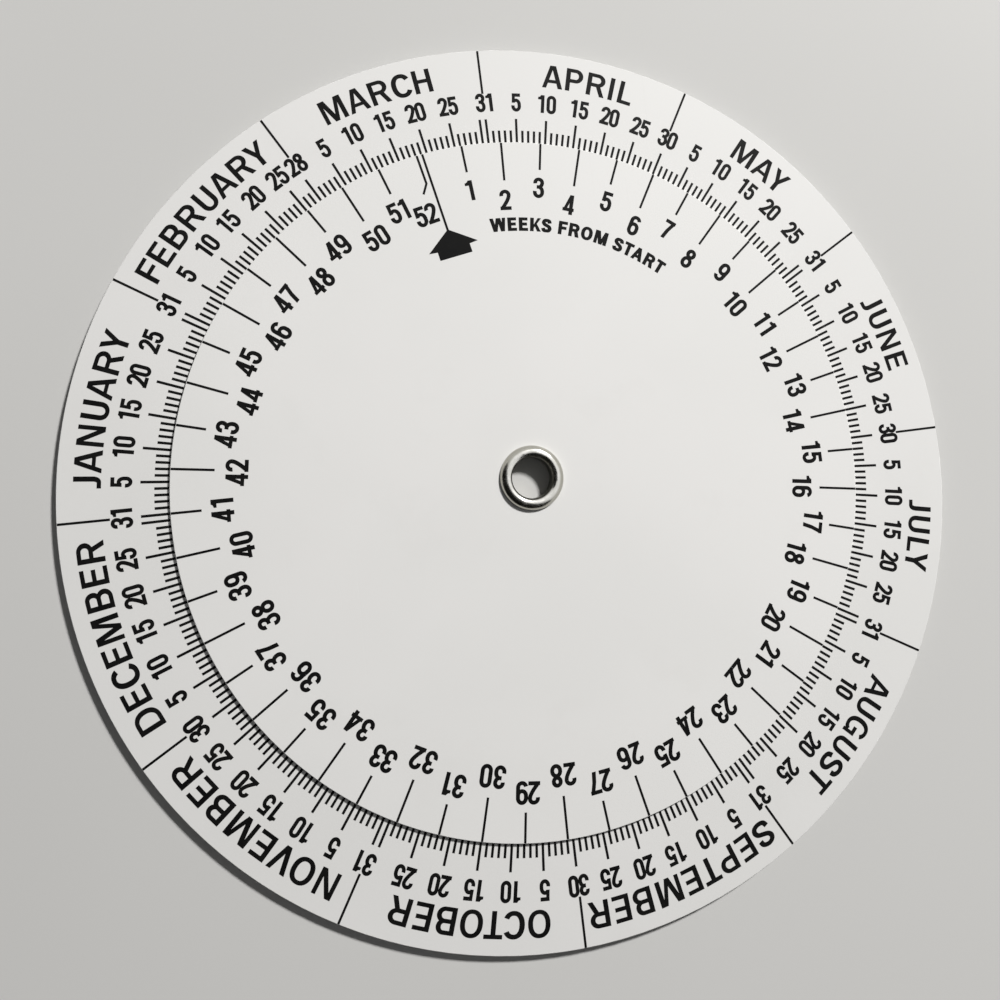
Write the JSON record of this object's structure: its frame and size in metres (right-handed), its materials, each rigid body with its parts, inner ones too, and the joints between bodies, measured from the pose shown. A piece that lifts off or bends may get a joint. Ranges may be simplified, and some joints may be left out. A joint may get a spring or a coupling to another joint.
{
  "type": "date wheel calculator",
  "caption": "Round flat calendar disc with a smaller week dial that turns on it about a hollow metal eyelet.",
  "frame": {"origin": "on the eyelet's axis, level with the lowest point of the eyelet's rolled end", "axes": "+Z along the eyelet's axis, out of the printed face; +Y towards the top of the calendar, where April begins; +X towards the start of July"},
  "size_m": [0.11, 0.11, 0.0027],
  "materials": {
    "disc_sheet": "satin white PVC sheet",
    "dial_sheet": "satin white PVC sheet",
    "ink": "printed black ink, slightly glossy",
    "nickel": "bright nickel plate with fine rub marks"
  },
  "bodies": {
    "base": {"base_disc": "disc_sheet", "month_lines": "ink", "day_ticks": "ink", "eyelet": "nickel", "back_washer": "nickel"},
    "dial": {"week_dial": "dial_sheet", "week_lines": "ink", "start_arrow": "ink"}
  },
  "joints": [
    {"name": "dial_turn", "type": "hinge", "parent": "base", "child": "dial", "pos_m": [0, 0, 0.0016], "axis": [0, 0, 1], "continuous": true}
  ]
}
